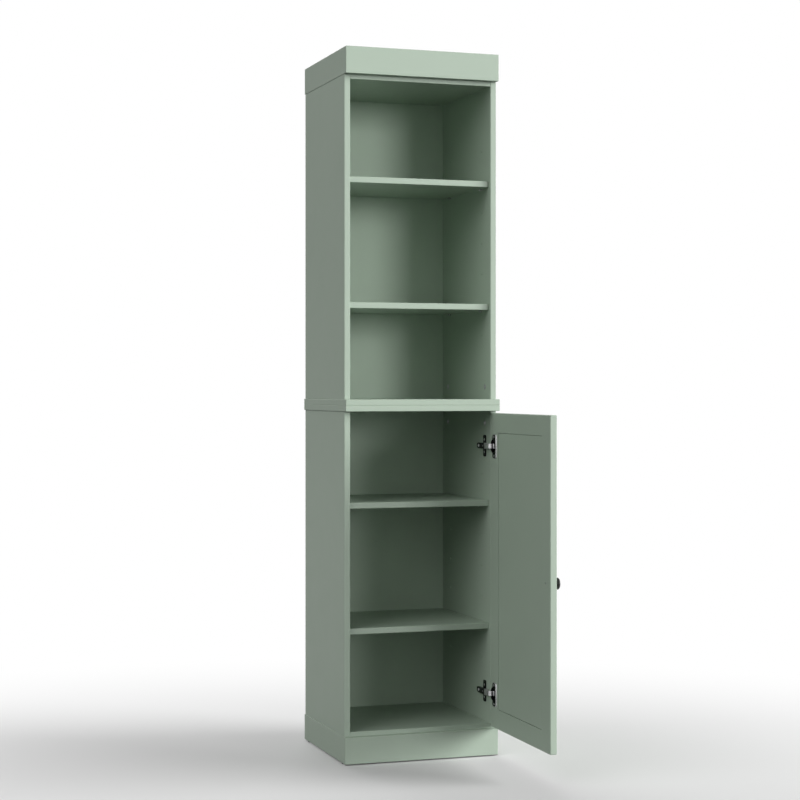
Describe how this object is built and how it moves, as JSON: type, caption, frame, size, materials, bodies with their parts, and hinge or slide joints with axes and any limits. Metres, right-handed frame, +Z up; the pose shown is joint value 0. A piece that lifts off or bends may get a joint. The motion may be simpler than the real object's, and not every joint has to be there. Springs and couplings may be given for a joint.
{
  "type": "tall bathroom cabinet",
  "caption": "Tall narrow painted storage cabinet: open shelf unit above, shelf unit with a knobbed door on concealed cup hinges below, boxed cornice and plinth.",
  "frame": {"origin": "on the floor at mid width, in the plane of the back that stands against the wall", "axes": "+Z up, +X to the right of a viewer who faces the cabinet, +Y to the wall, front faces -Y"},
  "size_m": [0.4219, 0.7641, 1.8],
  "materials": {
    "painted_board": "satin sage-green paint",
    "bare_wood": "raw",
    "black_knob": "satin black",
    "dark_hinge_metal": "satin black",
    "bright_hinge_metal": "nickel plated",
    "plated_steel": "zinc plated",
    "shelf_pin_steel": "nickel plated",
    "glide_plastic": "matte"
  },
  "bodies": {
    "carcass": {"back_panel_screws": "plated_steel", "cam_bolts": "plated_steel", "cam_locks": "plated_steel", "cornice_back": "painted_board", "cornice_front": "painted_board", "cornice_left": "painted_board", "cornice_right": "painted_board", "cornice_top": "painted_board", "dowels": "bare_wood", "glide_back_left": "glide_plastic", "glide_back_right": "glide_plastic", "glide_front_left": "glide_plastic", "glide_front_right": "glide_plastic", "hinge_arm_bottom": "bright_hinge_metal", "hinge_arm_screws": "plated_steel", "hinge_arm_top": "bright_hinge_metal", "hinge_plate_bottom": "dark_hinge_metal", "hinge_plate_screws": "plated_steel", "hinge_plate_top": "dark_hinge_metal", "lower_back_panel": "painted_board", "lower_bottom_panel": "painted_board", "lower_shelf_far": "painted_board", "lower_shelf_near": "painted_board", "lower_shelf_pins": "shelf_pin_steel", "lower_side_left": "painted_board", "lower_side_right": "painted_board", "plinth_back": "painted_board", "plinth_blocks": "bare_wood", "plinth_front": "painted_board", "plinth_left": "painted_board", "plinth_right": "painted_board", "plinth_screws": "plated_steel", "unit_bolts": "plated_steel", "unit_sleeves": "plated_steel", "upper_back_panel": "painted_board", "upper_shelf_far": "painted_board", "upper_shelf_near": "painted_board", "upper_shelf_pins": "shelf_pin_steel", "upper_side_left": "painted_board", "upper_side_right": "painted_board", "upper_top_panel": "painted_board", "waist_board_lower": "painted_board", "waist_board_upper": "painted_board"},
    "door": {"door_knob": "black_knob", "door_panel": "painted_board", "door_rail_bottom": "painted_board", "door_rail_top": "painted_board", "door_stile_free": "painted_board", "door_stile_hinge": "painted_board", "hinge_cup_bottom": "dark_hinge_metal", "hinge_cup_screws": "plated_steel", "hinge_cup_top": "dark_hinge_metal", "hinge_pin_bottom": "plated_steel", "hinge_pin_top": "plated_steel", "knob_screw": "plated_steel"}
  },
  "joints": [
    {"name": "door_hinge", "type": "hinge", "parent": "carcass", "child": "door", "pos_m": [0.1947, -0.3673, 0.47825], "axis": [0, 0, 1], "range_deg": [-88.9, 6.1]}
  ]
}
